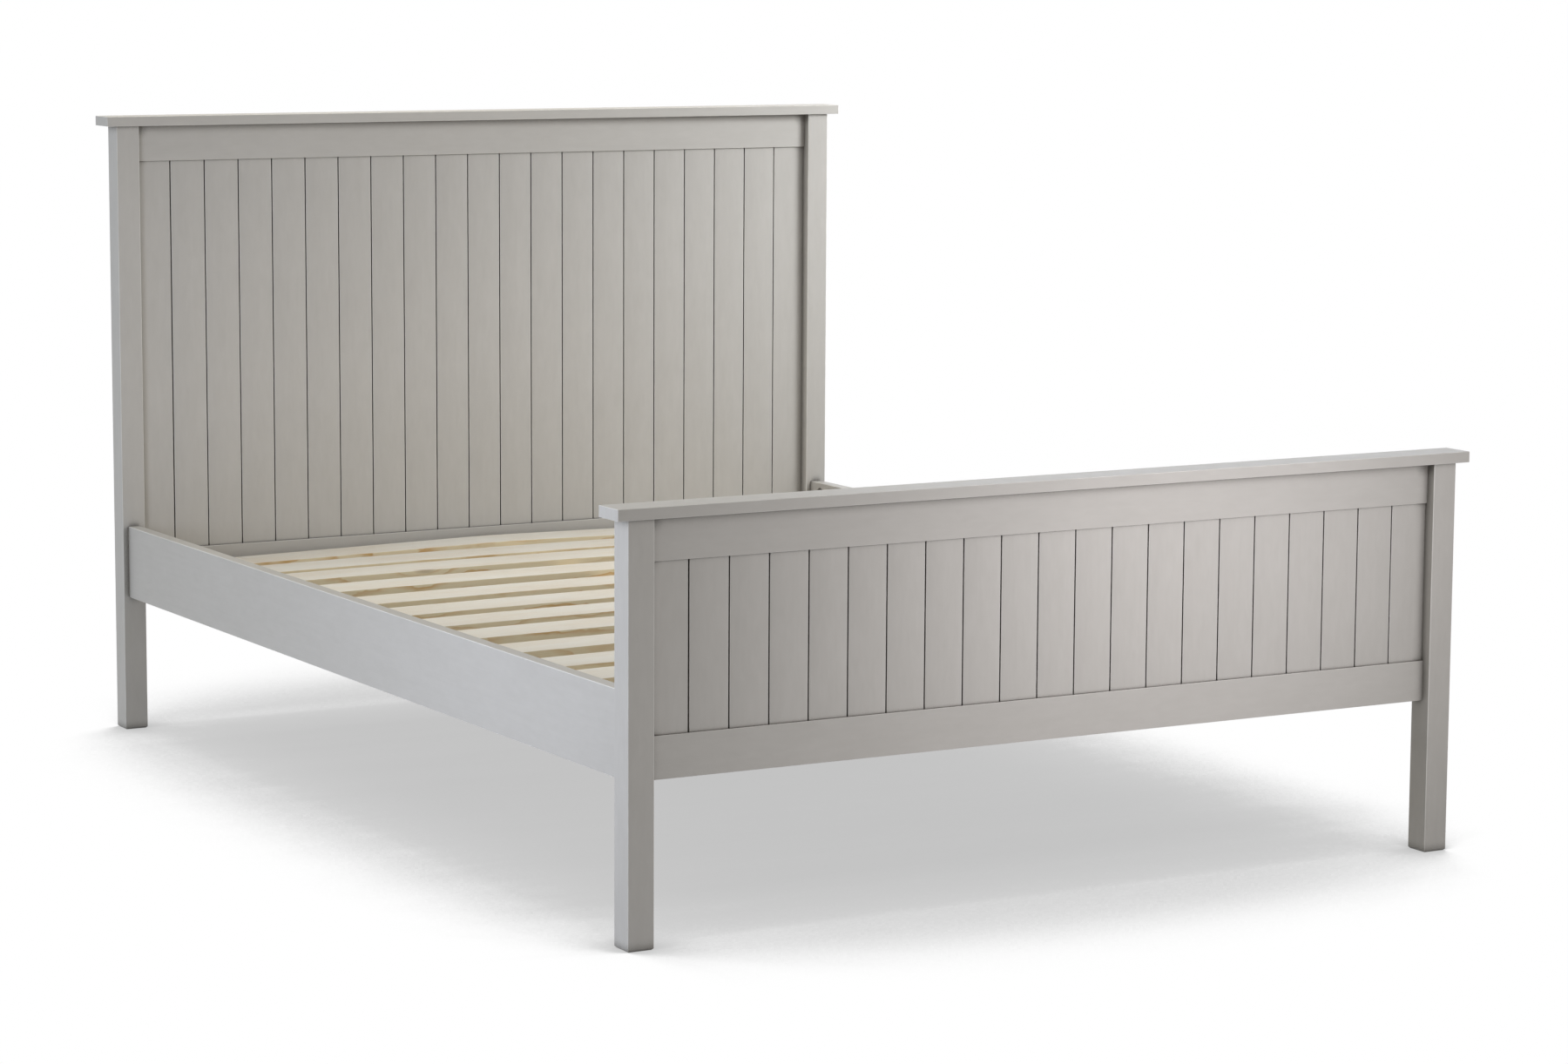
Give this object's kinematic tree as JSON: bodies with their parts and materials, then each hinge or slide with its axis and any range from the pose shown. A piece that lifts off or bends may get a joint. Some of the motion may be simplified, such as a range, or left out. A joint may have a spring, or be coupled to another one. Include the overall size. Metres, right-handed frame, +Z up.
{
  "type": "double bed frame",
  "caption": "Painted double bed frame with tongue and groove panels in head and foot boards, flat caps, deep side rails and bare whitewood slats.",
  "frame": {"origin": "on the floor, under the middle of the bed's footprint", "axes": "+Z up, +Y from the foot end to the head end, X across the bed with +X to the right for someone who stands at the foot and looks at the headboard"},
  "size_m": [1.49, 1.998, 1.097],
  "materials": {
    "painted_wood": "satin light grey paint over close-grained wood",
    "whitewood": "bare planed softwood",
    "beech_dowel": "bare turned hardwood",
    "zinc_steel": "bright zinc plating"
  },
  "bodies": {
    "root": {"bracket_screws": "zinc_steel", "centre_bracket_foot": "zinc_steel", "centre_bracket_head": "zinc_steel", "centre_rail": "whitewood", "corner_dowels": "beech_dowel", "corner_nuts": "zinc_steel", "foot_boards": "painted_wood", "foot_bottom_rail": "painted_wood", "foot_cap": "painted_wood", "foot_cap_dowels": "beech_dowel", "foot_edge_board_left": "painted_wood", "foot_edge_board_right": "painted_wood", "foot_post_left": "painted_wood", "foot_post_right": "painted_wood", "foot_rail_dowels": "beech_dowel", "foot_top_rail": "painted_wood", "half_moon_washers": "zinc_steel", "hanger_bolts": "zinc_steel", "head_boards": "painted_wood", "head_bottom_rail": "painted_wood", "head_cap": "painted_wood", "head_cap_dowels": "beech_dowel", "head_edge_board_left": "painted_wood", "head_edge_board_right": "painted_wood", "head_post_left": "painted_wood", "head_post_right": "painted_wood", "head_rail_dowels": "beech_dowel", "head_top_rail": "painted_wood", "ledge_left": "whitewood", "ledge_right": "whitewood", "ledge_screws": "zinc_steel", "side_rail_left": "painted_wood", "side_rail_right": "painted_wood", "slat_01": "whitewood", "slat_02": "whitewood", "slat_03": "whitewood", "slat_04": "whitewood", "slat_05": "whitewood", "slat_06": "whitewood", "slat_07": "whitewood", "slat_08": "whitewood", "slat_09": "whitewood", "slat_10": "whitewood", "slat_11": "whitewood", "slat_12": "whitewood", "slat_13": "whitewood", "slat_14": "whitewood", "slat_screws": "zinc_steel"}
  },
  "joints": []
}
